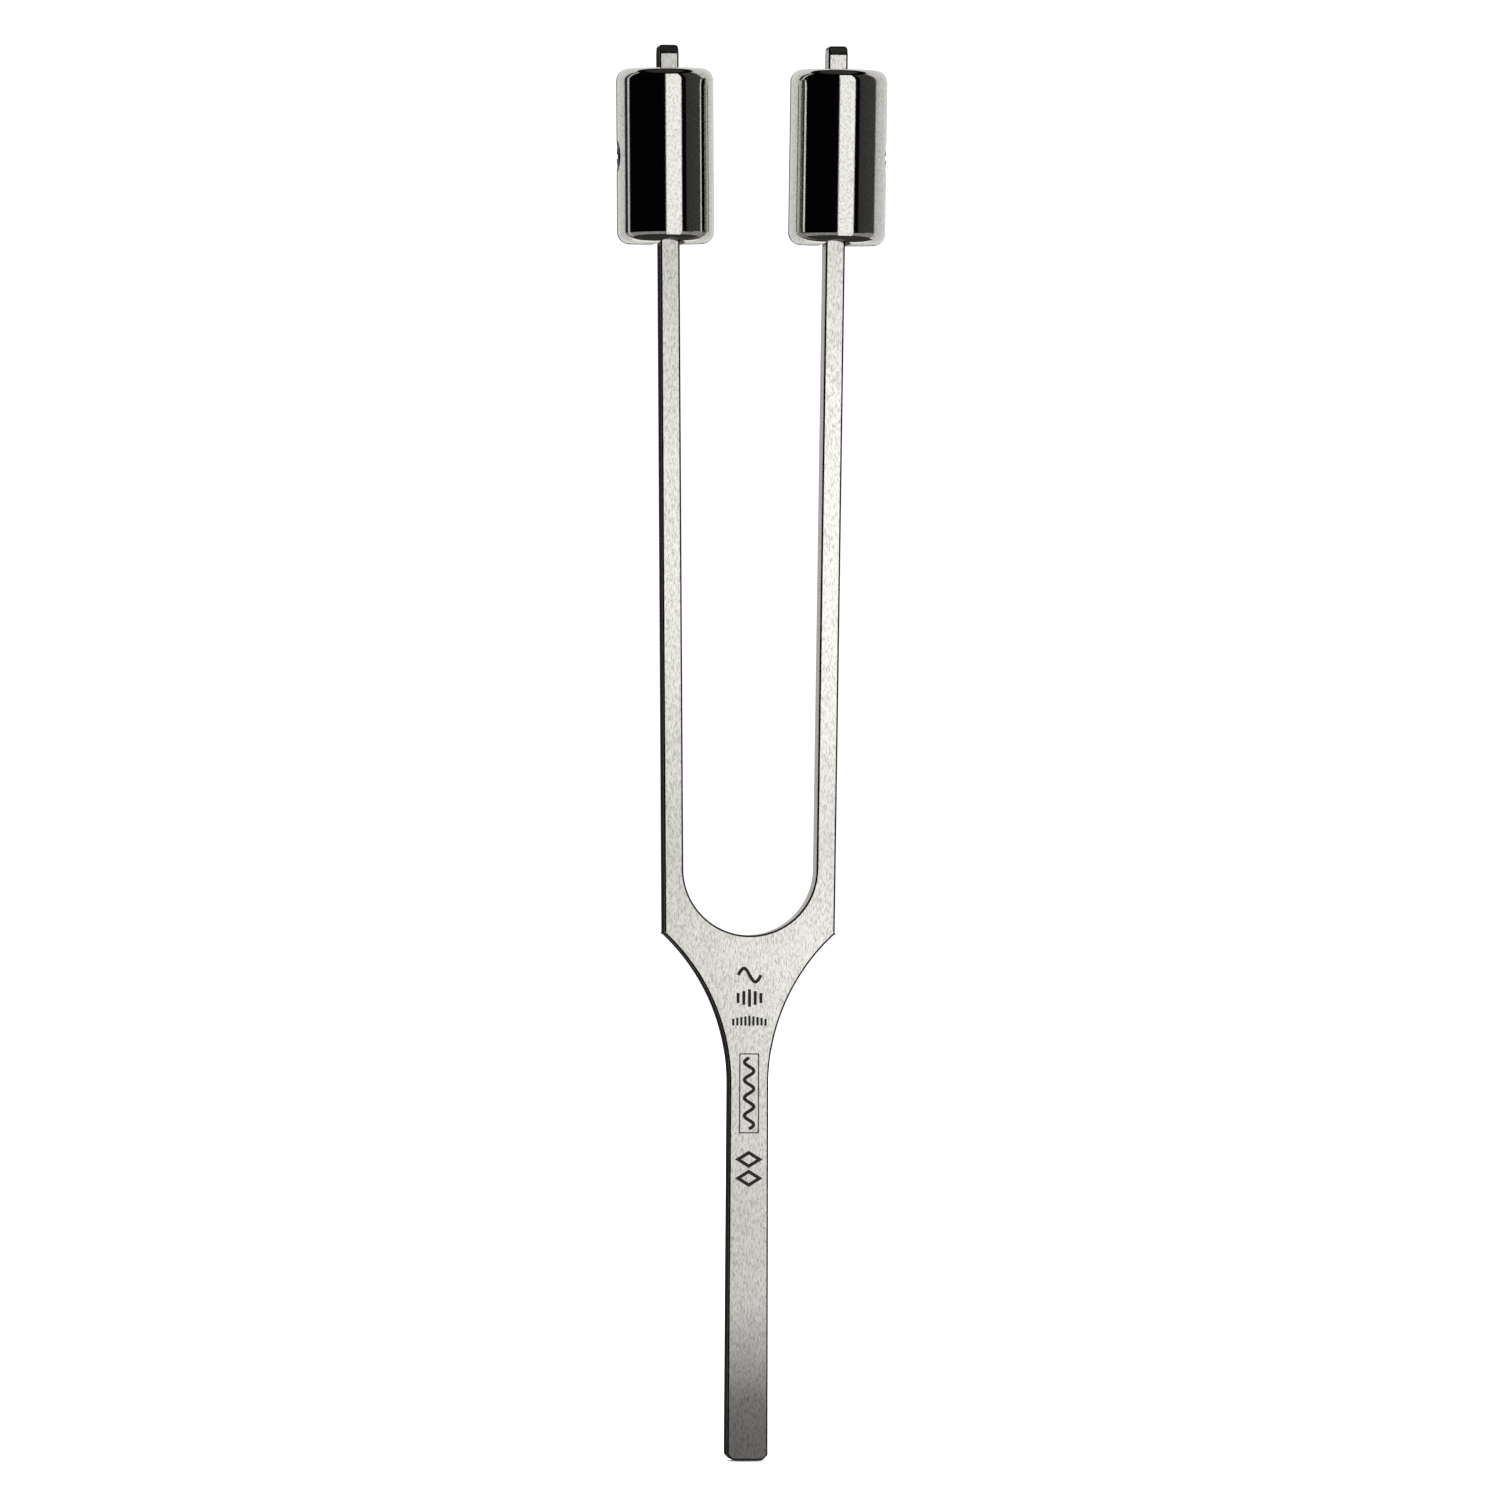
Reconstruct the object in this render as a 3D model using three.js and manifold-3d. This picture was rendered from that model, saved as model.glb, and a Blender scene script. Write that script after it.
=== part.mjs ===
// A weighted tuning fork. One flat steel fork, with two round weights that slide on its
// tines and a slotted set screw in the outer side of each weight that clamps it.
//
// Units are millimetres. +Z runs from the foot of the stem to the tine tips, X runs across
// the two tines, and the fork's marked front face looks towards -Y. The origin is the centre
// of the stem's foot.

import * as THREE from 'three';
import { mergeVertices } from 'three/addons/utils/BufferGeometryUtils.js';
import Module from 'manifold-3d';

// The fork
const overallLength = 210;
const forkDepth = 5.5; // along Y, the same for stem, yoke and tines
const stemFootWidth = 6.1;
const stemNeckWidth = 5.8;
const neckHeight = 55.8; // where the stem's sides start to flare into the yoke
const neckRadius = 30.3;
const shoulderHeight = 78.1; // where the flare ends in a sharp corner on the tine
const footCornerChamfer = 0.75;
const footEdgeChamfer = 0.4;
const crotchHeight = 87.8; // centre of the round crotch between the tines
const crotchRadius = 9.92;
const tineThickness = 2.88;
const tineSplay = THREE.MathUtils.degToRad(0.6); // each tine leans this far outwards
const tipCornerRadius = 0.5;
const tipBevelHeight = 1.25; // of the bevels on the tips' front and back edges
const tipBevelDepth = 0.85;

// The weights
const weightRadius = 7.2;
const weightLength = 26;
const weightEdgeRadius = 1.8;
const weightMidHeight = 193.6;
const weightOffset = 0.42; // of the weight's axis, outwards from the tine's centre line
const slidingGap = 0.3; // between the tine and the slot round it, on every side
const notchHalfWidth = 2.05; // of the shallow round notch across the weight's lower end
const notchHeight = 0.75;

// The set screws
const screwHoleRadius = 2;
const screwMouthRadius = 2.25; // of the bevel where the hole leaves the weight
const screwRadius = 1.75;
const screwLength = 5.9;
const screwEdgeChamfer = 0.3;
const screwPointRadius = 1.1;
const screwPointLength = 0.65;
const screwTipGap = 0.15; // between the screw's point and the tine
const screwSlotWidth = 0.7;
const screwSlotDepth = 1.3;

// Facets
const arcSteps = 12; // per corner curve; a circular arc gets twice as many
const weightSides = 48;
const weightEdgeSteps = 6;
const screwSides = 24;
const cutMargin = 5; // how far a cutting solid runs past what it cuts

const wasm = await Module();
wasm.setup();

function toSolid(geometry) {
  const bare = geometry.clone();
  bare.deleteAttribute('normal');
  bare.deleteAttribute('uv');
  const merged = mergeVertices(bare);
  const corners = merged.index.array;
  const triangles = [];
  for (let i = 0; i < corners.length; i += 3) {
    const [a, b, c] = corners.slice(i, i + 3);
    // A lathed profile leaves triangles without area where it meets the axis.
    if (a !== b && b !== c && c !== a) triangles.push(a, b, c);
  }
  return new wasm.Manifold(new wasm.Mesh({
    numProp: 3,
    vertProperties: new Float32Array(merged.attributes.position.array),
    triVerts: new Uint32Array(triangles),
  }));
}

function toGeometry(solid) {
  const mesh = solid.getMesh();
  const geometry = new THREE.BufferGeometry();
  geometry.setAttribute('position', new THREE.BufferAttribute(mesh.vertProperties, 3));
  geometry.setIndex(new THREE.BufferAttribute(mesh.triVerts, 1));
  geometry.computeVertexNormals();
  return geometry;
}

function steel(color, roughness) {
  return new THREE.MeshStandardMaterial({ color, roughness, metalness: 1 });
}

function namedMesh(name, solid, material) {
  const mesh = new THREE.Mesh(toGeometry(solid), material);
  mesh.name = name;
  return mesh;
}

// A point of the right-hand tine in the XZ plane. Across is measured from the crotch's centre
// at a right angle to the tine, and height is the point's own Z.
function onTine(across, height) {
  const x = across / Math.cos(tineSplay) + (height - crotchHeight) * Math.tan(tineSplay);
  return new THREE.Vector2(x, height);
}

// The fork seen from the front, drawn in XZ from the foot round to the right.
function forkOutline() {
  const inner = crotchRadius;
  const outer = crotchRadius + tineThickness;
  const footHalf = stemFootWidth / 2;
  const neckHalf = stemNeckWidth / 2;
  const tipBase = overallLength - tipCornerRadius;
  const outerTip = onTine(outer, tipBase);
  const innerTip = onTine(inner, tipBase);
  const flareCentre = neckHalf + neckRadius;
  const flareEnd = Math.asin((shoulderHeight - neckHeight) / neckRadius);

  const outline = new THREE.Shape();
  outline.moveTo(-footHalf + footCornerChamfer, 0);
  outline.lineTo(footHalf - footCornerChamfer, 0);
  outline.lineTo(footHalf, footCornerChamfer);
  outline.lineTo(neckHalf, neckHeight);
  outline.absarc(flareCentre, neckHeight, neckRadius, Math.PI, Math.PI - flareEnd, true);
  outline.lineTo(...onTine(outer, shoulderHeight));
  outline.lineTo(...outerTip);
  outline.quadraticCurveTo(
    outerTip.x, overallLength, outerTip.x - tipCornerRadius, overallLength);
  outline.lineTo(innerTip.x + tipCornerRadius, overallLength);
  outline.quadraticCurveTo(innerTip.x, overallLength, ...innerTip);
  outline.absarc(0, crotchHeight, crotchRadius, -tineSplay, Math.PI + tineSplay, true);
  outline.lineTo(-innerTip.x, innerTip.y);
  outline.quadraticCurveTo(
    -innerTip.x, overallLength, -innerTip.x - tipCornerRadius, overallLength);
  outline.lineTo(-outerTip.x + tipCornerRadius, overallLength);
  outline.quadraticCurveTo(-outerTip.x, overallLength, -outerTip.x, tipBase);
  outline.lineTo(-onTine(outer, shoulderHeight).x, shoulderHeight);
  outline.absarc(-flareCentre, neckHeight, neckRadius, flareEnd, 0, true);
  outline.lineTo(-footHalf, footCornerChamfer);
  outline.closePath();
  return outline;
}

// The fork seen from the side, drawn in YZ: bevelled at the tips and at the foot.
function sideOutline() {
  const half = forkDepth / 2;
  const tipBase = overallLength - tipBevelHeight;
  const outline = new THREE.Shape();
  outline.moveTo(-half + footEdgeChamfer, 0);
  outline.lineTo(half - footEdgeChamfer, 0);
  outline.lineTo(half, footEdgeChamfer);
  outline.lineTo(half, tipBase);
  outline.lineTo(half - tipBevelDepth, overallLength);
  outline.lineTo(-half + tipBevelDepth, overallLength);
  outline.lineTo(-half, tipBase);
  outline.lineTo(-half, footEdgeChamfer);
  outline.closePath();
  return outline;
}

function makeFork() {
  const front = new THREE.ExtrudeGeometry(forkOutline(), {
    depth: forkDepth + 2 * cutMargin, bevelEnabled: false, curveSegments: arcSteps,
  });
  front.rotateX(Math.PI / 2);
  front.translate(0, forkDepth / 2 + cutMargin, 0);

  const reach = stemFootWidth + neckRadius;
  const side = new THREE.ExtrudeGeometry(sideOutline(), {
    depth: 2 * reach, bevelEnabled: false,
  });
  side.applyMatrix4(new THREE.Matrix4().makeBasis(
    new THREE.Vector3(0, 1, 0), new THREE.Vector3(0, 0, 1), new THREE.Vector3(1, 0, 0)));
  side.translate(-reach, 0, 0);
  return namedMesh('fork', toSolid(front).intersect(toSolid(side)), steel(0xd8d4ce, 0.38));
}

// A solid of revolution about X, from [along, radius] pairs that go from low X to high X.
function turned(profile, sides) {
  const points = profile.map(([along, radius]) => new THREE.Vector2(radius, along));
  const geometry = new THREE.LatheGeometry(points, sides);
  geometry.rotateZ(-Math.PI / 2);
  return toSolid(geometry);
}

// Distances along the screw's axis, outwards from the weight's own axis.
const tineFace = tineThickness / 2 - weightOffset;
const screwInner = tineFace + screwTipGap;
const screwOuter = screwInner + screwLength;

// One weight, centred on its own axis and upright, with its screw hole towards +X.
function makeWeight(name) {
  const half = weightLength / 2;
  const flat = weightRadius - weightEdgeRadius;
  const profile = [[-half, 0]];
  for (const end of [-1, 1]) {
    for (let step = 0; step <= weightEdgeSteps; step += 1) {
      const fromFace = end < 0 ? step : weightEdgeSteps - step;
      const angle = (fromFace / weightEdgeSteps) * (Math.PI / 2);
      profile.push([
        end * (half - weightEdgeRadius + weightEdgeRadius * Math.cos(angle)),
        flat + weightEdgeRadius * Math.sin(angle),
      ]);
    }
  }
  profile.push([half, 0]);
  const onSide = new THREE.Matrix4().makeRotationY(-Math.PI / 2);
  const body = turned(profile, weightSides).transform(onSide.toArray());

  const slot = new THREE.BoxGeometry(
    tineThickness + 2 * slidingGap, forkDepth + 2 * slidingGap, weightLength + 2 * cutMargin);
  slot.translate(-weightOffset, 0, 0);

  const notchRadius = (notchHalfWidth ** 2 + notchHeight ** 2) / (2 * notchHeight);
  const notch = new THREE.CylinderGeometry(
    notchRadius, notchRadius, 2 * (weightRadius + cutMargin), weightSides);
  notch.translate(-weightOffset, 0, -half + notchHeight - notchRadius);

  const mouthDepth = screwMouthRadius - screwHoleRadius;
  const mouthAt = Math.sqrt(weightRadius ** 2 - screwMouthRadius ** 2);
  const hole = turned([
    [0, 0],
    [0, screwHoleRadius],
    [mouthAt - mouthDepth, screwHoleRadius],
    [mouthAt + cutMargin, screwHoleRadius + mouthDepth + cutMargin],
    [mouthAt + cutMargin, 0],
  ], screwSides);
  const cut = body.subtract(toSolid(slot)).subtract(toSolid(notch)).subtract(hole);
  return namedMesh(name, cut, steel(0xe6e4e0, 0.08));
}

// One set screw, on the same axes as its weight.
function makeSetScrew(name) {
  const body = turned([
    [screwInner, 0],
    [screwInner, screwPointRadius],
    [screwInner + screwPointLength, screwRadius],
    [screwOuter - screwEdgeChamfer, screwRadius],
    [screwOuter, screwRadius - screwEdgeChamfer],
    [screwOuter, 0],
  ], screwSides);
  const slot = new THREE.BoxGeometry(
    screwSlotDepth + cutMargin, 2 * screwRadius + cutMargin, screwSlotWidth);
  slot.translate(screwOuter + (cutMargin - screwSlotDepth) / 2, 0, 0);
  return namedMesh(name, body.subtract(toSolid(slot)), steel(0x3a3a3c, 0.4));
}

// A clamped weight on the right-hand tine: the group's own Z runs along the tine.
function makeClampedWeight(side) {
  const onTheTine = new THREE.Group();
  onTheTine.add(makeWeight(`${side}_weight`), makeSetScrew(`${side}_set_screw`));
  onTheTine.position.set(
    crotchRadius + tineThickness / 2 + weightOffset, 0,
    (weightMidHeight - crotchHeight) / Math.cos(tineSplay));

  const tine = new THREE.Group();
  tine.position.z = crotchHeight;
  tine.rotation.y = tineSplay;
  tine.add(onTheTine);
  return tine;
}

const tuningFork = new THREE.Group();
tuningFork.add(makeFork());

const rightHalf = makeClampedWeight('right');
const leftHalf = new THREE.Group();
leftHalf.rotation.z = Math.PI; // the fork looks the same after half a turn about its length
leftHalf.add(makeClampedWeight('left'));
tuningFork.add(rightHalf, leftHalf);

export default tuningFork;
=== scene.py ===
"""Looks of the weighted tuning fork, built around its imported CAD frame.

Everything is in metres, in the frame's own axes: +Z from the foot of the stem to the tine
tips, X across the tines, and the marked front face towards -Y.
"""

import math

import bmesh
import bpy
from mathutils import Matrix, Vector


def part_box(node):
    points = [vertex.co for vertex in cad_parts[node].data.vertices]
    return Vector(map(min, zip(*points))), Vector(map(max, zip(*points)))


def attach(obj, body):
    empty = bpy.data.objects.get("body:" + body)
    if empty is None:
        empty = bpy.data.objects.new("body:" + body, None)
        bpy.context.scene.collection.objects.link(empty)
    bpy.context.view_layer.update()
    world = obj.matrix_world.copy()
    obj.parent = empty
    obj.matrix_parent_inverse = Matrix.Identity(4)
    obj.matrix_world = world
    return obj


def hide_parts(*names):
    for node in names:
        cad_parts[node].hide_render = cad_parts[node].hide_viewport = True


MM = 0.001

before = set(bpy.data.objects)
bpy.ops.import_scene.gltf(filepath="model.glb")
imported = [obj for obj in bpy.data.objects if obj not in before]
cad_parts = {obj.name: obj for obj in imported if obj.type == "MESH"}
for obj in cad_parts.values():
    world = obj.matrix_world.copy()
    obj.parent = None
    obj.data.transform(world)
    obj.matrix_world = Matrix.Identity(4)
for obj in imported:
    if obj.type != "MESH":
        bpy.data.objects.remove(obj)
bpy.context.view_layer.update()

# ---------------------------------------------------------------- driving sizes, in metres

FORK_LOW, FORK_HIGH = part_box("fork")
FORK_DEPTH = FORK_HIGH.y - FORK_LOW.y
FORK_HEIGHT = FORK_HIGH.z
FRONT_Y = FORK_LOW.y

STEM_FOOT_HALF = 3.05 * MM
STEM_NECK_HALF = 2.9 * MM
NECK_Z = 55.8 * MM
NECK_RADIUS = 30.3 * MM
SHOULDER_Z = 78.1 * MM
FOOT_CORNER = 0.75 * MM
CROTCH_Z = 87.8 * MM
CROTCH_RADIUS = 9.92 * MM
TINE_THICKNESS = 2.88 * MM
TINE_SPLAY = math.radians(0.6)
TIP_CORNER = 0.5 * MM
TIP_BEVEL_HEIGHT = 1.25 * MM
TIP_BEVEL_DEPTH = 0.85 * MM
TIP_BEVEL_FACE = 1.5 * MM * MM  # any face on a tip that is larger is one of its bevels
EDGE_BREAK = 0.27 * MM  # the small round on every edge of the fork

WEIGHT_RADIUS = 7.2 * MM
WEIGHT_LENGTH = 26 * MM
WEIGHT_EDGE_RADIUS = 1.8 * MM
WEIGHT_MID_Z = 193.6 * MM
WEIGHT_OFFSET = 0.42 * MM
SLOT_GAP = 0.09 * MM
SLOT_MOUTH = 0.25 * MM  # width of the bevel where the slot leaves the weight's ends
NOTCH_HALF_WIDTH = 2.05 * MM  # of the shallow round notch across the weight's lower end
NOTCH_HEIGHT = 0.75 * MM

THREAD_PITCH = 0.7 * MM
THREAD_DEPTH = 0.16 * MM
SCREW_RADIUS = 1.9 * MM
SCREW_HOLE_RADIUS = 2.0 * MM
SCREW_MOUTH_RADIUS = 2.2 * MM
SCREW_TIP_GAP = 0.15 * MM
SCREW_LENGTH = 5.9 * MM
SCREW_SLOT_WIDTH = 0.7 * MM
SCREW_SLOT_DEPTH = 1.3 * MM
SCREW_POINT_RADIUS = 1.15 * MM
SCREW_POINT_LENGTH = 0.6 * MM
SCREW_CHAMFER = 0.25 * MM

WEIGHT_SIDES = 160
SCREW_SIDES = 48

MARK_DEPTH = 0.12 * MM


# ---------------------------------------------------------------- camera

VIEW_AZIMUTH = math.radians(-5.75)
VIEW_DISTANCE = 2.2
VIEW_HEIGHT = 105.4 * MM
VIEW_ASIDE = 0.18 * MM  # the camera's place to the right of the fork's axis
VIEW_SPAN = 222.85 * MM  # what the square picture takes in at the fork
VIEW_ROLL = math.radians(0.26)
SENSOR = 36.0


def make_camera():
    data = bpy.data.cameras.new("camera")
    data.sensor_width = SENSOR
    data.lens = SENSOR * VIEW_DISTANCE / VIEW_SPAN
    data.clip_start = 0.05
    data.clip_end = 20
    camera = bpy.data.objects.new("camera", data)
    bpy.context.scene.collection.objects.link(camera)
    back = Vector((math.sin(VIEW_AZIMUTH), -math.cos(VIEW_AZIMUTH), 0))
    turn = back.to_track_quat("Z", "Y") @ Matrix.Rotation(VIEW_ROLL, 3, "Z").to_quaternion()
    camera.rotation_euler = turn.to_euler()
    aside = Vector((math.cos(VIEW_AZIMUTH), math.sin(VIEW_AZIMUTH), 0)) * VIEW_ASIDE
    camera.location = Vector((0, 0, VIEW_HEIGHT)) + back * VIEW_DISTANCE + aside
    bpy.context.scene.camera = camera


# ---------------------------------------------------------------- studio


FLOOR_HALF = 3.0
FLOOR_Z = -0.2 * MM


def make_floor():
    corners = [(-1, -1), (1, -1), (1, 1), (-1, 1)]
    mesh = bpy.data.meshes.new("floor")
    mesh.from_pydata([(FLOOR_HALF * x, FLOOR_HALF * y, FLOOR_Z) for x, y in corners],
                     [], [(0, 1, 2, 3)])
    floor = bpy.data.objects.new("floor", mesh)
    bpy.context.scene.collection.objects.link(floor)
    material = bpy.data.materials.new("floor_paper")
    material.use_nodes = True
    shader = material.node_tree.nodes["Principled BSDF"]
    shader.inputs["Base Color"].default_value = (0.93, 0.93, 0.93, 1)
    shader.inputs["Roughness"].default_value = 0.9
    shader.inputs["Specular IOR Level"].default_value = 0.1
    mesh.materials.append(material)
    floor.visible_glossy = False


class Nodes:
    """Short calls to add and link the nodes of one tree."""

    def __init__(self, tree):
        self.tree = tree

    def add(self, kind, **settings):
        node = self.tree.nodes.new(kind)
        for name, value in settings.items():
            setattr(node, name, value)
        return node

    def link(self, source, target):
        self.tree.links.new(source, target)

    def math(self, operation, *values, clamp=False):
        node = self.add("ShaderNodeMath", operation=operation, use_clamp=clamp)
        for socket, value in zip(node.inputs, values):
            if isinstance(value, (int, float)):
                socket.default_value = value
            else:
                self.link(value, socket)
        return node.outputs[0]

    def flip(self, value):
        return self.math("SUBTRACT", 1, value)

    def between(self, value, low, high):
        """Smoothly 0 to 1 as value goes from low to high."""
        node = self.add("ShaderNodeMapRange", interpolation_type="SMOOTHSTEP")
        self.link(value, node.inputs["Value"])
        node.inputs["From Min"].default_value = low
        node.inputs["From Max"].default_value = high
        return node.outputs[0]

    def mix(self, factor, first, second):
        """Plain number mix: first where factor is 0, second where it is 1."""
        node = self.add("ShaderNodeMix", data_type="FLOAT")
        for socket, value in zip((node.inputs[0], node.inputs[2], node.inputs[3]),
                                 (factor, first, second)):
            if isinstance(value, (int, float)):
                socket.default_value = value
            else:
                self.link(value, socket)
        return node.outputs[0]

    def steps(self, value, stops):
        """A grey ramp over value 0 to 1, from (position, grey) stops."""
        node = self.add("ShaderNodeValToRGB")
        ramp = node.color_ramp
        while len(ramp.elements) < len(stops):
            ramp.elements.new(0.5)
        for element, (position, grey) in zip(ramp.elements, stops):
            element.position = position
            element.color = (grey, grey, grey, 1)
        self.link(value, node.inputs[0])
        return node.outputs[0]


# The studio round the object, as reflections see it. A narrow soft box stands in front with
# black flags on both sides of it, and pale cloth hangs behind. Pairs of angles, in degrees,
# are where a change starts and where it ends.

# Brightness on the horizon by direction, as (degrees from -Y towards +X, grey).
STUDIO_RING = [
    (-180, 0.72), (-160, 0.7), (-124, 0.62), (-118, 0.52), (-116, 0.02),
    (-107, 0.012), (-105, 0.6), (-101, 0.6), (-99, 0.001),
    (-3.5, 0.001), (-2, 1.0), (33.5, 1.0), (35, 0.001), (45, 0.001), (48, 0.036), (93, 0.05),
    (97, 0.5), (112, 0.6), (160, 0.7), (180, 0.72),
]
STUDIO_GAIN = 1.17  # times the greys of the whole studio
BOX_BOTTOM = (-37, -35)  # elevations of the soft box's lower edge
BOX_TOP = (50, 54)
CEILING = (62, 70)  # elevations between which the black above the soft box turns dark grey
FLAG_GREY = 0.002
CEILING_GREY = 0.035
GAP_BEHIND = (20, 10)  # half of the width of a dark gap straight behind
GAP_TOP = (8, 14)  # elevations up to which the gap reaches, and as far below the horizon
GAP_GREY = 0.01
CLOTH_FRONT = 0.2  # the cloth starts where a direction points back this much,
CLOTH_LEAN_UP = 0.6  # and this much more for each part that the direction points up
CLOTH_LEAN_DOWN = 0.27  # or down
CLOTH_TOP_GREY = 1.0
PAPER_GREY = 0.95
PAPER_DEPTH = 0.68  # the paper behind starts where a direction points down this much
LOW_LIGHT_BOTTOM = (-34, -31)  # elevations of a dim light all round, thrown back by the floor
LOW_LIGHT_TOP = (-10, -7)
SIDE_LIGHT_TOP = (-2.5, -0.8)  # on the right it reaches up to here
SIDE_LIGHT_X = (0.85, 0.95)  # the right is where a direction's x is this large
LOW_GREY = 0.26
TABLE_GREY = 0.035  # straight below
SOFT_EDGE = 0.01  # half of the width of the cloth's and the paper's edges
SOFT_LIGHT = 2.6  # the even light on what is not metal
BACKDROP = 1.1  # the white that the camera sees


def sines(degrees):
    return [math.sin(math.radians(angle)) for angle in degrees]


def studio_light(nodes, direction):
    """The studio's grey by direction."""
    parts = nodes.add("ShaderNodeSeparateXYZ")
    nodes.link(direction, parts.inputs[0])
    x, y, z = parts.outputs
    azimuth = nodes.math("ARCTAN2", x, nodes.math("MULTIPLY", y, -1))
    turn = nodes.math("ADD", nodes.math("DIVIDE", azimuth, 2 * math.pi), 0.5)
    ring = nodes.steps(turn, [((degrees + 180) / 360, grey) for degrees, grey in STUDIO_RING])

    over_bottom = nodes.between(z, *sines(BOX_BOTTOM))
    over_top = nodes.between(z, *sines(BOX_TOP))
    under_top = nodes.flip(over_top)
    lean = nodes.math("MAXIMUM", nodes.math("MULTIPLY", z, CLOTH_LEAN_UP),
                      nodes.math("MULTIPLY", z, -CLOTH_LEAN_DOWN))
    behind = nodes.between(nodes.math("SUBTRACT", y, lean),
                           CLOTH_FRONT - SOFT_EDGE, CLOTH_FRONT + SOFT_EDGE)
    belt = nodes.math("MULTIPLY", over_bottom, under_top)
    shown = nodes.math("MAXIMUM", belt, nodes.math("MULTIPLY", behind, under_top))
    ceiling = nodes.mix(nodes.between(z, *sines(CEILING)), FLAG_GREY, CEILING_GREY)
    light = nodes.mix(shown, ceiling, ring)

    slit = nodes.between(y, *(math.cos(math.radians(angle)) for angle in GAP_BEHIND))
    level = nodes.flip(nodes.between(nodes.math("ABSOLUTE", z), *sines(GAP_TOP)))
    light = nodes.mix(nodes.math("MULTIPLY", slit, level), light, GAP_GREY)

    low_light = nodes.math("MULTIPLY", nodes.flip(nodes.between(z, *sines(LOW_LIGHT_TOP))),
                           nodes.between(z, *sines(LOW_LIGHT_BOTTOM)))
    side_light = nodes.math("MULTIPLY", nodes.between(x, *SIDE_LIGHT_X),
                            nodes.flip(nodes.between(z, *sines(SIDE_LIGHT_TOP))))
    side_light = nodes.math("MULTIPLY", side_light, over_bottom)
    low_light = nodes.math("MAXIMUM", low_light, side_light)
    light = nodes.math("MAXIMUM", light, nodes.math("MULTIPLY", low_light, LOW_GREY))
    table = nodes.math("MULTIPLY", nodes.flip(over_bottom), TABLE_GREY)
    light = nodes.math("MAXIMUM", light, table)

    light = nodes.mix(nodes.math("MULTIPLY", behind, over_top), light, CLOTH_TOP_GREY)
    low = nodes.between(z, SOFT_EDGE - PAPER_DEPTH, -SOFT_EDGE - PAPER_DEPTH)
    light = nodes.mix(nodes.math("MULTIPLY", behind, low), light, PAPER_GREY)
    return nodes.math("MULTIPLY", light, STUDIO_GAIN)


def make_world():
    world = bpy.data.worlds.new("studio")
    bpy.context.scene.world = world
    world.use_nodes = True
    nodes = Nodes(world.node_tree)
    direction = nodes.add("ShaderNodeTexCoord").outputs["Generated"]
    path = nodes.add("ShaderNodeLightPath")
    soft = nodes.math("MAXIMUM", path.outputs["Is Camera Ray"], path.outputs["Is Diffuse Ray"])
    studio = world.node_tree.nodes["Background"]
    studio.inputs["Color"].default_value = (1.0, 0.988, 0.966, 1)
    nodes.link(nodes.mix(soft, studio_light(nodes, direction), SOFT_LIGHT),
               studio.inputs["Strength"])

    backdrop = nodes.add("ShaderNodeBackground")
    backdrop.inputs["Color"].default_value = (1, 1, 1, 1)
    backdrop.inputs["Strength"].default_value = BACKDROP
    choice = nodes.add("ShaderNodeMixShader")
    nodes.link(path.outputs["Is Camera Ray"], choice.inputs[0])
    nodes.link(studio.outputs[0], choice.inputs[1])
    nodes.link(backdrop.outputs[0], choice.inputs[2])
    nodes.link(choice.outputs[0], world.node_tree.nodes["World Output"].inputs["Surface"])


# ---------------------------------------------------------------- materials


def metal(name, colour, roughness):
    """A new metal material, its node helper and its shader."""
    material = bpy.data.materials.new(name)
    material.use_nodes = True
    shader = material.node_tree.nodes["Principled BSDF"]
    shader.inputs["Base Color"].default_value = (*colour, 1)
    shader.inputs["Metallic"].default_value = 1
    shader.inputs["Roughness"].default_value = roughness
    return material, Nodes(material.node_tree), shader


def stretched_noise(nodes, scale, stretch, detail=3.0, roughness=0.5):
    """Noise over the object's own place, in cycles a metre, stretched along each axis."""
    place = nodes.add("ShaderNodeTexCoord").outputs["Object"]
    mapping = nodes.add("ShaderNodeMapping")
    mapping.inputs["Scale"].default_value = stretch
    nodes.link(place, mapping.inputs["Vector"])
    noise = nodes.add("ShaderNodeTexNoise")
    noise.inputs["Scale"].default_value = scale
    noise.inputs["Detail"].default_value = detail
    noise.inputs["Roughness"].default_value = roughness
    nodes.link(mapping.outputs[0], noise.inputs["Vector"])
    return noise.outputs["Fac"]


def tinted(nodes, shader, factor, dark, light):
    """Colours the shader from dark to light by factor."""
    mix = nodes.add("ShaderNodeMix", data_type="RGBA")
    nodes.link(factor, mix.inputs[0])
    mix.inputs[6].default_value = (*dark, 1)
    mix.inputs[7].default_value = (*light, 1)
    nodes.link(mix.outputs[2], shader.inputs["Base Color"])


def bumped(nodes, shader, height, distance):
    """Roughens the shader by height, which stands for that distance in metres."""
    bump = nodes.add("ShaderNodeBump")
    bump.inputs["Strength"].default_value = 1.0
    bump.inputs["Distance"].default_value = distance
    nodes.link(height, bump.inputs["Height"])
    nodes.link(bump.outputs[0], shader.inputs["Normal"])


# Painted light and shade along the fork's brushed faces, as (height in mm, grey): the brightness
# of their reflections put into the colour. It is even over the tines and yoke and goes dark
# towards the foot.
STEEL_PAINTED_SHADE = [
    (2.4, 0.126), (4.6, 0.143), (9, 0.18), (16.5, 0.4), (23.9, 0.585), (38.7, 0.634),
    (75.8, 0.784), (90.7, 0.724), (128, 0.977), (157, 0.887), (179, 0.684), (204, 0.68),
]
LEFT_PAINTED_SHADE = 0.88  # painted shade of the left tine, against the whole
# painted light of the right tine, against the whole
RIGHT_PAINTED_LIGHT = 1.08
PAINTED_SHADE_REACH = 14 * MM  # the painted shade changes between this far left and this far right


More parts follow.
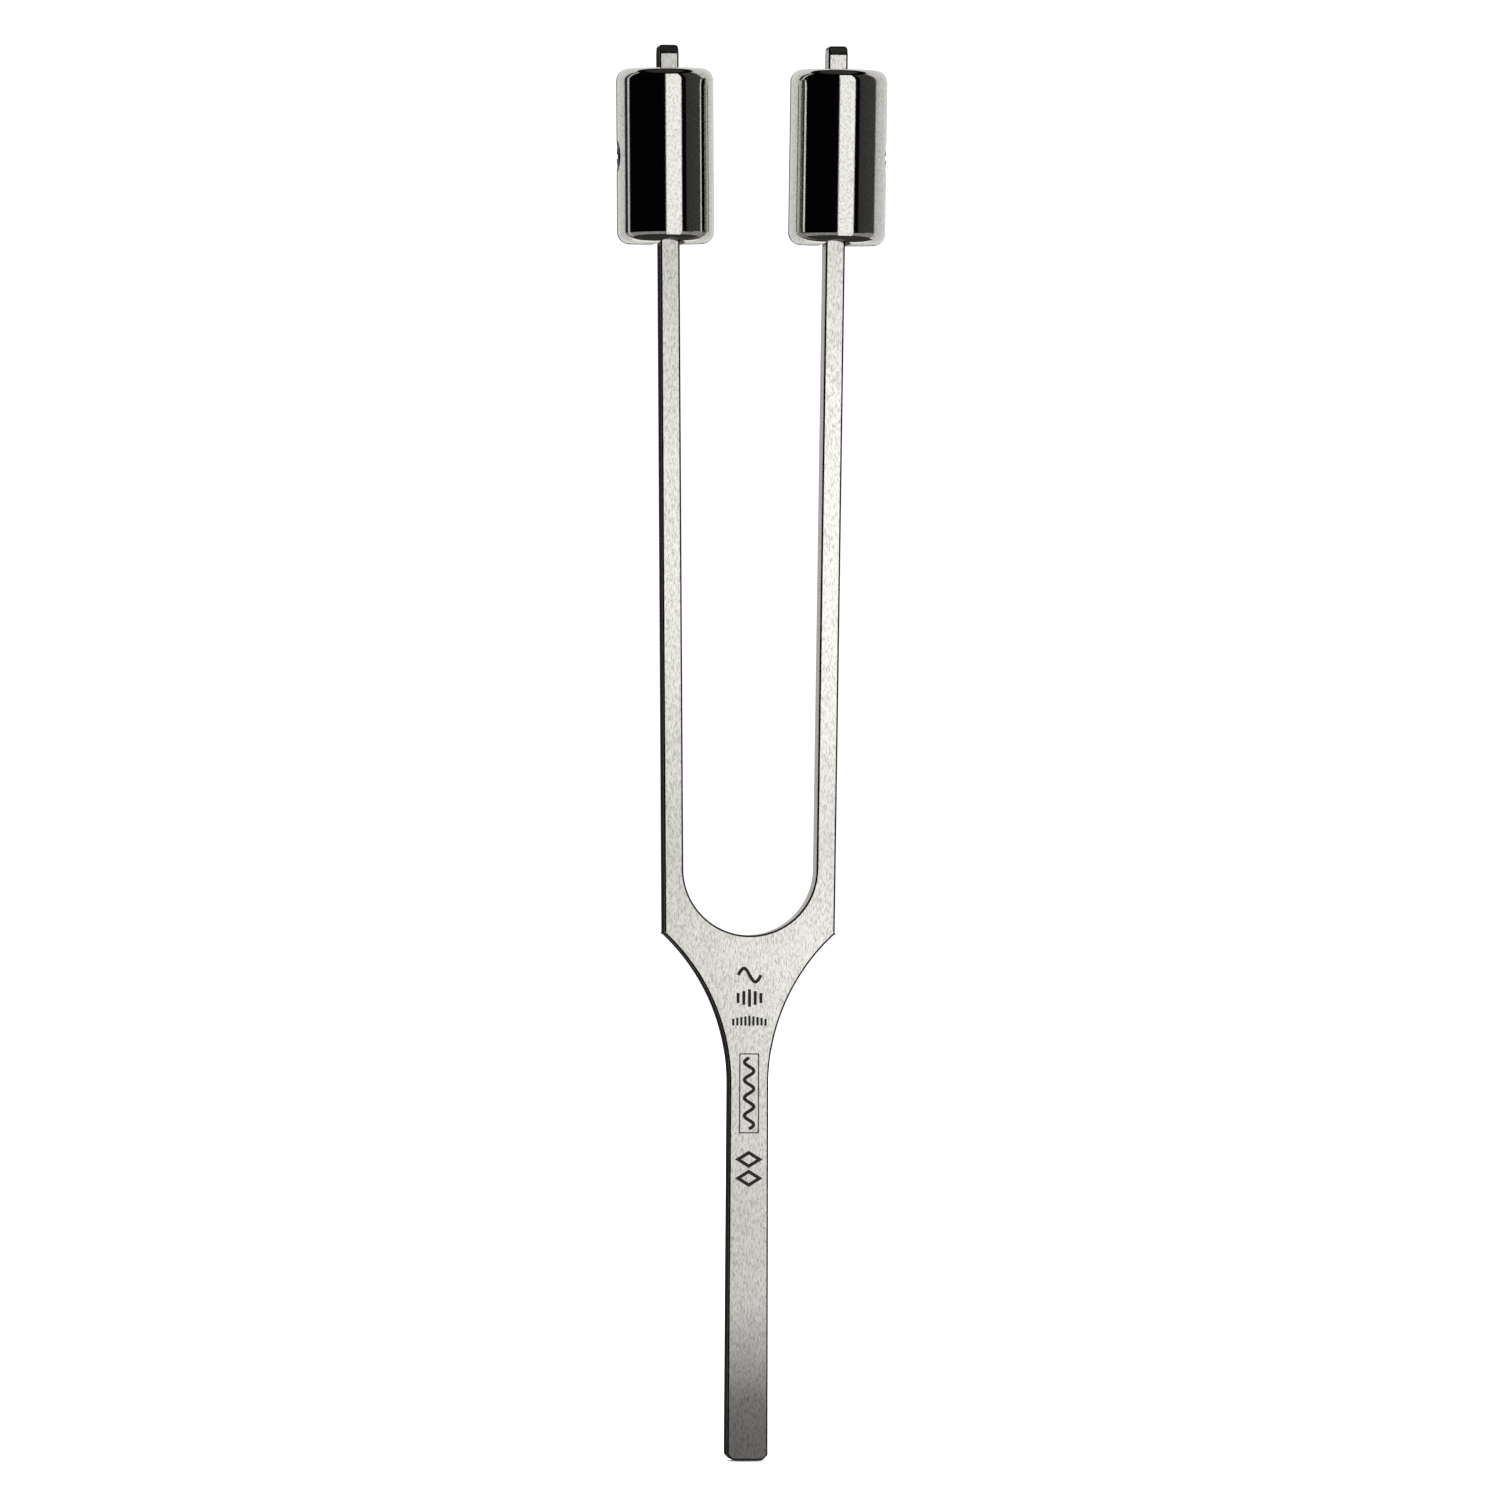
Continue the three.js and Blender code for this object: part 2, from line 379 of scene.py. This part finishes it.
def brushed_steel():
    """Satin steel, brushed lengthwise: fine grain along Z, short darker flecks and clouds,
    all with painted light and shade along the fork (dark towards the foot) and across it (the left tine
    darker)."""
    material, nodes, shader = metal("brushed_steel", (0.88, 0.87, 0.85), 0.085)
    shader.inputs["Anisotropic"].default_value = 1.0
    tangent = nodes.add("ShaderNodeTangent", direction_type="RADIAL", axis="Z")
    nodes.link(tangent.outputs[0], shader.inputs["Tangent"])
    grain = stretched_noise(nodes, 6500, (1, 1, 0.18), 4, 0.6)
    flecks = stretched_noise(nodes, 5200, (1, 1, 0.3), 3, 0.6)
    clouds = stretched_noise(nodes, 160, (1, 1, 0.5), 2, 0.5)
    dark = nodes.mix(nodes.between(flecks, 0.34, 0.5), 0.1, 1)
    tone = nodes.math("MULTIPLY", nodes.between(grain, 0.2, 0.62), dark)
    tone = nodes.math("MULTIPLY", tone, nodes.mix(clouds, 0.8, 1.2), clamp=True)
    colour = nodes.add("ShaderNodeMix", data_type="RGBA")
    nodes.link(tone, colour.inputs[0])
    colour.inputs[6].default_value = (0.52, 0.51, 0.49, 1)
    colour.inputs[7].default_value = (1, 0.985, 0.96, 1)

    place = nodes.add("ShaderNodeSeparateXYZ")
    nodes.link(nodes.add("ShaderNodeTexCoord").outputs["Object"], place.inputs[0])
    # Painted light and shade: the colour darkens towards the foot and on the left tine, and brightens
    # on the right.
    along = nodes.steps(nodes.math("DIVIDE", place.outputs[2], FORK_HEIGHT),
                        [(height * MM / FORK_HEIGHT, grey) for height, grey in STEEL_PAINTED_SHADE])
    across = nodes.mix(nodes.between(place.outputs[0], -PAINTED_SHADE_REACH, PAINTED_SHADE_REACH),
                       LEFT_PAINTED_SHADE, RIGHT_PAINTED_LIGHT)
    shade = nodes.add("ShaderNodeVectorMath", operation="SCALE")
    nodes.link(colour.outputs[2], shade.inputs[0])
    nodes.link(nodes.math("MULTIPLY", along, across, clamp=True), shade.inputs["Scale"])
    nodes.link(shade.outputs[0], shader.inputs["Base Color"])
    bumped(nodes, shader, grain, 0.0000008)
    return material


def ground_edge():
    """The fork's narrow sides: ground smoother than its faces, and painted darker as painted reflection
    of the dark studio beside them.
    """
    material, nodes, shader = metal("ground_edge", (0.5, 0.49, 0.475), 0.13)
    grain = stretched_noise(nodes, 4200, (1, 1, 0.03), 3, 0.6)
    # Painted reflection: dark greys for the sides' dark reflections, varied by the grain.
    tinted(nodes, shader, grain, (0.2, 0.195, 0.19), (0.42, 0.41, 0.4))
    bumped(nodes, shader, grain, 0.0000005)
    return material


def painted_dark_edge():
    """The broken edges of the fork, painted near black as painted reflection of the dark studio on
    their small rounds.
    """
    material, nodes, shader = metal("painted_dark_edge", (0.03, 0.029, 0.028), 0.3)
    mottle = stretched_noise(nodes, 900, (1, 1, 0.4), 3, 0.6)
    # Painted reflection: near-black tints, mottled at random.
    tinted(nodes, shader, nodes.between(mottle, 0.45, 0.7), (0.008, 0.008, 0.008), (0.06, 0.058, 0.055))
    bumped(nodes, shader, mottle, 0.000001)
    return material


def milled_crotch():
    """The inner sides of the tines and the round between them: left as milled, so duller."""
    material, nodes, shader = metal("milled_crotch", (0.8, 0.79, 0.77), 0.5)
    cuts = stretched_noise(nodes, 1500, (1, 0.15, 1.6), 3, 0.6)
    tinted(nodes, shader, cuts, (0.7, 0.69, 0.67), (0.95, 0.94, 0.92))
    bumped(nodes, shader, cuts, 0.000006)
    return material


def mark_ink():
    """The darkened floor of the engraved marks."""
    material, nodes, shader = metal("mark_ink", (0.02, 0.02, 0.02), 0.7)
    shader.inputs["Metallic"].default_value = 0.2
    speckle = stretched_noise(nodes, 6000, (1, 1, 1), 2)
    tinted(nodes, shader, speckle, (0.004, 0.004, 0.004), (0.016, 0.016, 0.017))
    bumped(nodes, shader, speckle, 0.000003)
    return material


HAZE_HEIGHT = 0.8  # of the chrome's haze, against its turned rings


def polished_chrome():
    """Polished plating over turned steel: fine rings round the axis under the shine."""
    material, nodes, shader = metal("polished_chrome", (0.9, 0.89, 0.87), 0.045)
    rings = stretched_noise(nodes, 2600, (0.12, 0.12, 1), 3, 0.6)
    haze = stretched_noise(nodes, 3200, (1, 1, 0.7), 4, 0.65)
    tinted(nodes, shader, nodes.between(haze, 0.3, 0.62), (0.51, 0.5, 0.48), (0.79, 0.78, 0.76))
    roughness = nodes.mix(rings, 0.03, 0.075)
    nodes.link(roughness, shader.inputs["Roughness"])
    height = nodes.math("ADD", rings, nodes.math("MULTIPLY", haze, HAZE_HEIGHT))
    bumped(nodes, shader, height, 0.000003)
    return material


def faced_end():
    """The weights' flat ends: plated over coarse facing cuts, so satin."""
    material, nodes, shader = metal("faced_end", (0.9, 0.89, 0.87), 0.45)
    cuts = stretched_noise(nodes, 2200, (1, 1, 0.2), 3)
    tinted(nodes, shader, cuts, (0.8, 0.79, 0.77), (0.95, 0.94, 0.925))
    bumped(nodes, shader, cuts, 0.000004)
    return material


def slot_wall():
    """The unplated walls of the slot, the notch and the screw hole, painted near black as painted shade
    in the recesses and the gap round the tine.
    """
    material, nodes, shader = metal("slot_wall", (0.06, 0.058, 0.056), 0.5)
    cuts = stretched_noise(nodes, 2500, (1, 1, 0.4), 3)
    # Painted shade: near-black tints on the recess walls.
    tinted(nodes, shader, cuts, (0.02, 0.0195, 0.019), (0.1, 0.098, 0.095))
    bumped(nodes, shader, cuts, 0.000008)
    return material


def black_oxide():
    """Oiled black oxide on the set screws, worn a little on its high spots."""
    material, nodes, shader = metal("black_oxide", (0.02, 0.02, 0.021), 0.28)
    shader.inputs["Metallic"].default_value = 0.3
    mottle = stretched_noise(nodes, 2800, (1, 1, 1), 4, 0.65)
    tinted(nodes, shader, nodes.between(mottle, 0.45, 0.75), (0.012, 0.012, 0.013),
           (0.05, 0.049, 0.047))
    bumped(nodes, shader, mottle, 0.000006)
    return material


# ---------------------------------------------------------------- mesh helpers


def new_object(name, mesh, *materials):
    obj = bpy.data.objects.new(name, mesh)
    bpy.context.scene.collection.objects.link(obj)
    for material in materials:
        mesh.materials.append(material)
    return obj


def prism(name, outline, low, high, to_place):
    """A closed prism: outline is a ring of (u, v) points, low and high its ends along w.
    to_place turns (u, v, w) into a point."""
    count = len(outline)
    points = [to_place(u, v, w) for w in (low, high) for u, v in outline]
    faces = [tuple(range(count)), tuple(range(2 * count - 1, count - 1, -1))]
    for i in range(count):
        j = (i + 1) % count
        faces.append((j, i, count + i, count + j))
    mesh = bpy.data.meshes.new(name)
    mesh.from_pydata(points, [], faces)
    repair(mesh)
    return mesh


def repair(mesh):
    """Turns all faces outwards."""
    work = bmesh.new()
    work.from_mesh(mesh)
    bmesh.ops.recalc_face_normals(work, faces=work.faces)
    work.to_mesh(mesh)
    work.free()


def arc(centre, radius, start, end, steps):
    """Points of a round stretch, both ends included. Angles are in radians from +u."""
    turn = (end - start) / steps
    return [(centre[0] + radius * math.cos(start + turn * i),
             centre[1] + radius * math.sin(start + turn * i)) for i in range(steps + 1)]


def add_boolean(obj, operation, cutter):
    step = obj.modifiers.new(operation.lower(), "BOOLEAN")
    step.operation = operation
    step.object = cutter
    step.solver = "EXACT"
    step.material_mode = "TRANSFER"


def apply_modifiers(obj):
    """Makes the modifiers' result the object's own mesh."""
    graph = bpy.context.evaluated_depsgraph_get()
    mesh = bpy.data.meshes.new_from_object(obj.evaluated_get(graph))
    obj.modifiers.clear()
    old = obj.data
    obj.data = mesh
    bpy.data.meshes.remove(old)


def discard(obj):
    mesh = obj.data
    bpy.data.objects.remove(obj)
    bpy.data.meshes.remove(mesh)


# ---------------------------------------------------------------- the fork


def on_tine(across, height):
    """A point of the right-hand tine, across metres from the crotch's centre at a right angle
    to the tine, at that height."""
    x = across / math.cos(TINE_SPLAY) + (height - CROTCH_Z) * math.tan(TINE_SPLAY)
    return x, height


def fork_outline():
    """The fork from the front in (x, z): its right half from the foot up, then the left."""
    inner = CROTCH_RADIUS
    outer = CROTCH_RADIUS + TINE_THICKNESS
    flare_centre = (STEM_NECK_HALF + NECK_RADIUS, NECK_Z)
    flare_end = math.asin((SHOULDER_Z - NECK_Z) / NECK_RADIUS)
    tip_base = FORK_HEIGHT - TIP_CORNER
    outer_tip = on_tine(outer, tip_base)
    inner_tip = on_tine(inner, tip_base)

    right = [(STEM_FOOT_HALF - FOOT_CORNER, 0)]
    right += [(STEM_FOOT_HALF, FOOT_CORNER)]
    right += arc(flare_centre, NECK_RADIUS, math.pi, math.pi - flare_end, 48)
    right += [on_tine(outer, SHOULDER_Z)]
    right += arc((outer_tip[0] - TIP_CORNER, tip_base), TIP_CORNER, 0, math.pi / 2, 8)
    right += arc((inner_tip[0] + TIP_CORNER, tip_base), TIP_CORNER, math.pi / 2, math.pi, 8)
    right += arc((0, CROTCH_Z), CROTCH_RADIUS, -TINE_SPLAY, -math.pi / 2, 48)
    left = [(-x, z) for x, z in reversed(right[:-1])]
    return right + left


def side_outline():
    """The fork from the side in (y, z): bevelled at the tips, square at the foot."""
    half = FORK_DEPTH / 2
    tip_base = FORK_HEIGHT - TIP_BEVEL_HEIGHT
    tip_half = half - TIP_BEVEL_DEPTH
    return [(-half, 0), (half, 0), (half, tip_base), (tip_half, FORK_HEIGHT),
            (-tip_half, FORK_HEIGHT), (-half, tip_base)]


def make_fork(materials):
    mesh = prism("tuning_fork", fork_outline(), -FORK_DEPTH, FORK_DEPTH,
                 lambda x, z, y: (x, y, z))
    fork = new_object("tuning_fork", mesh, *materials)
    wide = 2 * FORK_HIGH.x
    side = new_object("side_cutter", prism(
        "side_cutter", side_outline(), -wide, wide, lambda y, z, x: (x, y, z)))
    side.data.materials.append(materials[0])
    add_boolean(fork, "INTERSECT", side)
    bevel = fork.modifiers.new("edge_break", "BEVEL")
    bevel.width = EDGE_BREAK
    bevel.segments = 3
    bevel.limit_method = "ANGLE"
    bevel.angle_limit = math.radians(32)
    bevel.use_clamp_overlap = False
    apply_modifiers(fork)
    discard(side)

    marks = make_mark_cutter(materials[4])
    add_boolean(fork, "DIFFERENCE", marks)
    apply_modifiers(fork)
    discard(marks)
    finish_fork(fork.data)
    flats = fork.modifiers.new("flat_flats", "WEIGHTED_NORMAL")
    flats.mode = "FACE_AREA"
    flats.weight = 100
    flats.keep_sharp = True
    apply_modifiers(fork)
    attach(fork, "fork")
    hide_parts("fork")


def finish_fork(mesh):
    """Gives each face of the fork the finish of its side, and shades the fork smooth, sharp where faces
    meet at more than 50 degrees.
    """
    face_finish, side_finish, crotch_finish, edge_finish, mark_finish = range(5)
    for face in mesh.polygons:
        if face.material_index == mark_finish:
            continue
        middle, normal = face.center, face.normal
        across = abs(middle.x) - (middle.z - CROTCH_Z) * math.tan(TINE_SPLAY)
        inside = (middle.z > CROTCH_Z - CROTCH_RADIUS - EDGE_BREAK
                  and across < CROTCH_RADIUS + EDGE_BREAK / 2)
        on_tip = middle.z > FORK_HEIGHT - TIP_BEVEL_HEIGHT
        if abs(normal.y) > 0.98 or (on_tip and face.area > TIP_BEVEL_FACE):
            face.material_index = face_finish
        elif abs(normal.y) > 0.05:
            face.material_index = edge_finish
        elif inside and not on_tip:
            face.material_index = crotch_finish
        else:
            face.material_index = side_finish
    mesh.shade_smooth()
    mesh.set_sharp_from_angle(angle=math.radians(50))


# ---------------------------------------------------------------- the engraved marks

# Generic signs in the places of the real fork's lettering, as heights on the stem and yoke.
WAVE_SIGN_Z = 72.0 * MM
BARS_SIGN_Z = 68.6 * MM
DOTS_ROW_Z = 65.2 * MM
PANEL_TOP_Z = 60.3 * MM
PANEL_BOTTOM_Z = 48.6 * MM
PANEL_HALF = 1.4 * MM
DIAMOND_TOP_Z = 44.65 * MM
DIAMOND_NEXT_Z = 41.85 * MM
FINE_LINE = 0.17 * MM
BOLD_LINE = 0.5 * MM


def ribbon(points, width, closed=False):
    """The outline or outlines of a line of that width along points, with mitred corners.
    An open line gives one ring of points, a closed one gives an outer and an inner ring."""
    count = len(points)
    left, right = [], []
    for i, (x, z) in enumerate(points):
        before = points[(i - 1) % count] if closed or i else points[i]
        after = points[(i + 1) % count] if closed or i < count - 1 else points[i]
        one = Vector((x - before[0], z - before[1]))
        two = Vector((after[0] - x, after[1] - z))
        one = one.normalized() if one.length else two.normalized()
        two = two.normalized() if two.length else one
        normal = Vector((-(one.y + two.y), one.x + two.x)).normalized()
        reach = width / 2 / max(0.3, normal.dot(Vector((-one.y, one.x))))
        left.append((x + normal.x * reach, z + normal.y * reach))
        right.append((x - normal.x * reach, z - normal.y * reach))
    return (left, right) if closed else left + right[::-1]


def wave(centre, length, height, turns, steps, upright=False):
    """Points of a sine wave centred on a place of the front face."""
    points = []
    for i in range(steps + 1):
        part = i / steps
        along = (part - 0.5) * length
        swing = math.sin(part * turns * 2 * math.pi) * height / 2
        points.append((centre[0] + (swing if upright else along),
                       centre[1] + (along if upright else swing)))
    return points


def mark_shapes():
    """Every mark as a ring of (x, z) points, or as an (outer, inner) pair of rings."""
    shapes = []
    shapes.append(ribbon(wave((0, WAVE_SIGN_Z), 3.4 * MM, 2.0 * MM, 1.0, 32), BOLD_LINE))

    # Five bars that rise and fall.
    for i in range(-2, 3):
        height = (2.6 - 0.55 * abs(i)) * MM
        x = i * 0.85 * MM
        shapes.append(ribbon([(x, BARS_SIGN_Z - height / 2), (x, BARS_SIGN_Z + height / 2)],
                             BOLD_LINE * 0.9))

    # A bent row of short dashes.
    for i in range(-4, 5):
        x = i * 0.6 * MM
        z = DOTS_ROW_Z - abs(i) ** 2 * 0.012 * MM
        height = (1.5 - 0.12 * abs(i)) * MM
        shapes.append(ribbon([(x, z - height / 2), (x, z + height / 2)], 0.34 * MM))

    # A framed panel with a wave along it.
    panel = [(-PANEL_HALF, PANEL_BOTTOM_Z), (PANEL_HALF, PANEL_BOTTOM_Z),
             (PANEL_HALF, PANEL_TOP_Z), (-PANEL_HALF, PANEL_TOP_Z)]
    shapes.append(ribbon(panel, FINE_LINE, closed=True))
    middle = (0, (PANEL_TOP_Z + PANEL_BOTTOM_Z) / 2)
    shapes.append(ribbon(wave(middle, 10.6 * MM, 1.4 * MM, 4, 96, upright=True), BOLD_LINE))

    # Two open diamonds.
    for z in (DIAMOND_TOP_Z, DIAMOND_NEXT_Z):
        wide, tall = 1.6 * MM, 1.0 * MM
        shapes.append(ribbon([(wide, z), (0, z + tall), (-wide, z), (0, z - tall)],
                             BOLD_LINE, closed=True))
    return shapes


def make_mark_cutter(material):
    """One object with a small prism for each mark, from just in front of the front face to
    the marks' floor."""
    work = bmesh.new()
    low, high = FRONT_Y - 2 * MARK_DEPTH, FRONT_Y + MARK_DEPTH
    for shape in mark_shapes():
        rings = shape if isinstance(shape, tuple) else (shape,)
        ends = [[[work.verts.new((x, y, z)) for x, z in ring] for ring in rings]
                for y in (low, high)]
        for ring in range(len(rings)):
            near, far = ends[0][ring], ends[1][ring]
            for i in range(len(near)):
                j = (i + 1) % len(near)
                work.faces.new((near[i], near[j], far[j], far[i]))
        for end in ends:
            if len(end) == 1:
                work.faces.new(end[0])
                continue
            outer, inner = end
            for i in range(len(outer)):
                j = (i + 1) % len(outer)
                work.faces.new((outer[i], outer[j], inner[j], inner[i]))
    bmesh.ops.recalc_face_normals(work, faces=work.faces)
    mesh = bpy.data.meshes.new("marks")
    work.to_mesh(mesh)
    work.free()
    return new_object("marks", mesh, material)


# ---------------------------------------------------------------- the weights and screws


def turned(name, profile, sides, twist=None):
    """A closed solid turned about Z from (radius, z) points that start and end on the axis.
    twist(radius, z, angle) may change the radius."""
    work = bmesh.new()
    rings = []
    for radius, z in profile:
        if radius == 0:
            rings.append([work.verts.new((0, 0, z))])
            continue
        ring = []
        for i in range(sides):
            angle = 2 * math.pi * i / sides
            r = twist(radius, z, angle) if twist else radius
            ring.append(work.verts.new((r * math.cos(angle), r * math.sin(angle), z)))
        rings.append(ring)
    for below, above in zip(rings, rings[1:]):
        for i in range(sides):
            j = (i + 1) % sides
            if len(below) == 1:
                work.faces.new((below[0], above[j], above[i]))
            elif len(above) == 1:
                work.faces.new((below[i], below[j], above[0]))
            else:
                work.faces.new((below[i], below[j], above[j], above[i]))
    bmesh.ops.recalc_face_normals(work, faces=work.faces)
    mesh = bpy.data.meshes.new(name)
    work.to_mesh(mesh)
    work.free()
    return mesh


def threaded(low, high):
    """A twist that cuts a helical thread between two heights and fades out at both."""
    run_out = THREAD_PITCH * 0.6

    def radius_at(radius, z, angle):
        if not low < z < high:
            return radius
        fade = min(1, (z - low) / run_out, (high - z) / run_out)
        turn = z / THREAD_PITCH - angle / (2 * math.pi)
        depth = abs(2 * (turn - math.floor(turn)) - 1)
        return radius - THREAD_DEPTH * depth * fade

    return radius_at


def weight_profile():
    half = WEIGHT_LENGTH / 2
    flat = WEIGHT_RADIUS - WEIGHT_EDGE_RADIUS
    top = half - WEIGHT_EDGE_RADIUS
    rows = 24
    profile = [(0, -half)]
    profile += arc((flat, -top), WEIGHT_EDGE_RADIUS, -math.pi / 2, 0, 14)
    profile += [(WEIGHT_RADIUS, -top + 2 * top * i / rows) for i in range(1, rows)]
    profile += arc((flat, top), WEIGHT_EDGE_RADIUS, 0, math.pi / 2, 14)
    profile += [(0, half)]
    return profile


# Distances along the screw, outwards from the weight's own axis.
SCREW_INNER = TINE_THICKNESS / 2 - WEIGHT_OFFSET + SCREW_TIP_GAP
SCREW_OUTER = SCREW_INNER + SCREW_LENGTH
OUTWARDS = Matrix.Rotation(math.pi / 2, 4, "Y")  # turns +Z to +X


def slot_cutter(material):
    """The slot for the tine, with a small bevel where it leaves the weight's ends."""
    half_x = TINE_THICKNESS / 2 + SLOT_GAP
    half_y = FORK_DEPTH / 2 + SLOT_GAP
    end = WEIGHT_LENGTH / 2
    sections = [(-end - SLOT_MOUTH, 2 * SLOT_MOUTH), (-end + SLOT_MOUTH, 0),
                (end - SLOT_MOUTH, 0), (end + SLOT_MOUTH, 2 * SLOT_MOUTH)]
    corners = ((-1, -1), (1, -1), (1, 1), (-1, 1))
    points, faces = [], []
    for z, more in sections:
        points += [(sx * (half_x + more) - WEIGHT_OFFSET, sy * (half_y + more), z)
                   for sx, sy in corners]
    for level in range(len(sections) - 1):
        for i in range(4):
            j = (i + 1) % 4
            faces.append((4 * level + i, 4 * level + j, 4 * level + 4 + j, 4 * level + 4 + i))
    faces += [(3, 2, 1, 0), tuple(range(len(points) - 4, len(points)))]
    mesh = bpy.data.meshes.new("slot_cutter")
    mesh.from_pydata(points, [], faces)
    repair(mesh)
    return new_object("slot_cutter", mesh, material)


def notch_cutter(material):
    """A round bar along Y that leaves the notch across the weight's lower end."""
    radius = (NOTCH_HALF_WIDTH ** 2 + NOTCH_HEIGHT ** 2) / (2 * NOTCH_HEIGHT)
    centre = (-WEIGHT_OFFSET, -WEIGHT_LENGTH / 2 + NOTCH_HEIGHT - radius)
    ring = arc(centre, radius, 0, 2 * math.pi, 96)[:-1]
    reach = 2 * WEIGHT_RADIUS
    return new_object("notch_cutter", prism(
        "notch_cutter", ring, -reach, reach, lambda x, z, y: (x, y, z)), material)


def hole_cutter(material):
    """The threaded screw hole, from the slot out through the side, with a bevelled mouth."""
    mouth = math.sqrt(WEIGHT_RADIUS ** 2 - SCREW_MOUTH_RADIUS ** 2)
    bevel = SCREW_MOUTH_RADIUS - SCREW_HOLE_RADIUS
    beyond = 2 * MM
    rows = 60
    start, end = 0.4 * MM, mouth - bevel
    profile = [(0, start)]
    profile += [(SCREW_HOLE_RADIUS, start + (end - start) * i / rows) for i in range(rows + 1)]
    profile += [(SCREW_MOUTH_RADIUS + beyond, mouth + beyond), (0, mouth + beyond)]

    thread = threaded(start + 0.5 * MM, end - 0.1 * MM)
    mesh = turned("hole_cutter", profile, SCREW_SIDES, thread)
    mesh.transform(OUTWARDS)
    return new_object("hole_cutter", mesh, material)


def shade_weight(mesh, end_finish):
    """Exact normals on the turned surfaces, so that their reflections run clean past the cuts."""
    half = WEIGHT_LENGTH / 2
    top = half - WEIGHT_EDGE_RADIUS
    flat = WEIGHT_RADIUS - WEIGHT_EDGE_RADIUS
    mesh.shade_smooth()
    mesh.set_sharp_from_angle(angle=math.radians(30))
    normals = [Vector(corner.vector) for corner in mesh.corner_normals]
    for face in mesh.polygons:
        if face.material_index != 0:
            continue
        if abs(face.normal.z) > 0.9999:
            face.material_index = end_finish
            for corner in face.loop_indices:
                normals[corner] = face.normal.copy()
            continue
        for corner in face.loop_indices:
            place = mesh.vertices[mesh.loops[corner].vertex_index].co
            outward = Vector((place.x, place.y, 0)).normalized()
            rise = math.copysign(max(0, abs(place.z) - top), place.z)
            run = max(0, math.hypot(place.x, place.y) - flat)
            normals[corner] = (outward * run + Vector((0, 0, rise))).normalized()
    mesh.normals_split_custom_set(normals)


def make_weight(side, chrome, painted_recess_shade, faced):
    weight = new_object(f"{side}_weight_body", turned("weight", weight_profile(), WEIGHT_SIDES), chrome)
    cutters = [slot_cutter(painted_recess_shade), notch_cutter(painted_recess_shade), hole_cutter(painted_recess_shade)]
    for cutter in cutters:
        add_boolean(weight, "DIFFERENCE", cutter)
    apply_modifiers(weight)
    for cutter in cutters:
        discard(cutter)
    weight.data.materials.append(faced)
    shade_weight(weight.data, len(weight.data.materials) - 1)
    place_on_tine(weight, side)
    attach(weight, f"{side}_weight")
    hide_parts(f"{side}_weight")


def screw_profile():
    """From the point that presses on the tine to the slotted end."""
    rows = 84
    core = SCREW_RADIUS - THREAD_DEPTH
    face = SCREW_RADIUS - SCREW_CHAMFER - 0.1 * MM
    start, end = SCREW_INNER + SCREW_POINT_LENGTH, SCREW_OUTER - SCREW_CHAMFER
    profile = [(0, SCREW_INNER), (SCREW_POINT_RADIUS, SCREW_INNER), (core, start)]
    profile += [(SCREW_RADIUS, start + (end - start) * i / rows) for i in range(1, rows)]
    profile += [(core, end), (face, SCREW_OUTER), (0, SCREW_OUTER)]
    return profile, start, end


def make_screw(side, material):
    profile, start, end = screw_profile()
    inner = start + THREAD_PITCH / 8

    def thread(radius, z, angle):
        if radius < SCREW_RADIUS:
            return radius
        turn = z / THREAD_PITCH - angle / (2 * math.pi)
        depth = abs(2 * (turn - math.floor(turn)) - 1)
        fade = min(1, (z - inner) / THREAD_PITCH, (end - z) / THREAD_PITCH)
        return radius - THREAD_DEPTH * (1 - (1 - depth) * max(0, fade))

    mesh = turned("screw", profile, SCREW_SIDES, thread)
    mesh.transform(OUTWARDS)
    screw = new_object(f"{side}_grub_screw", mesh, material)
    high = SCREW_OUTER + 1 * MM
    low = SCREW_OUTER - SCREW_SLOT_DEPTH
    half = SCREW_SLOT_WIDTH / 2
    slot = [(-2 * SCREW_RADIUS, -half), (2 * SCREW_RADIUS, -half),
            (2 * SCREW_RADIUS, half), (-2 * SCREW_RADIUS, half)]
    cutter = new_object("screw_slot", prism(
        "screw_slot", slot, low, high, lambda y, z, x: (x, y, z)), material)
    add_boolean(screw, "DIFFERENCE", cutter)
    apply_modifiers(screw)
    discard(cutter)
    screw.data.shade_smooth()
    screw.data.set_sharp_from_angle(angle=math.radians(40))
    place_on_tine(screw, side)
    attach(screw, f"{side}_set_screw")
    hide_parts(f"{side}_set_screw")


def place_on_tine(obj, side):
    """Moves a piece made round the weight's own axis onto its tine. The left is the right
    turned by half a turn about the fork's length."""
    along = (WEIGHT_MID_Z - CROTCH_Z) / math.cos(TINE_SPLAY)
    across = CROTCH_RADIUS + TINE_THICKNESS / 2 + WEIGHT_OFFSET
    place = (Matrix.Translation((0, 0, CROTCH_Z)) @ Matrix.Rotation(TINE_SPLAY, 4, "Y")
             @ Matrix.Translation((across, 0, along)))
    if side == "left":
        place = Matrix.Rotation(math.pi, 4, "Z") @ place
    obj.data.transform(place)


# ---------------------------------------------------------------- the whole

bpy.context.scene.view_settings.view_transform = "Standard"
make_camera()
make_floor()
make_world()
make_fork((brushed_steel(), ground_edge(), milled_crotch(), painted_dark_edge(), mark_ink()))
chrome_finish, painted_recess_shade_finish, end_finish = polished_chrome(), slot_wall(), faced_end()
screw_finish = black_oxide()
for hand in ("left", "right"):
    make_weight(hand, chrome_finish, painted_recess_shade_finish, end_finish)
    make_screw(hand, screw_finish)

bpy.context.view_layer.update()
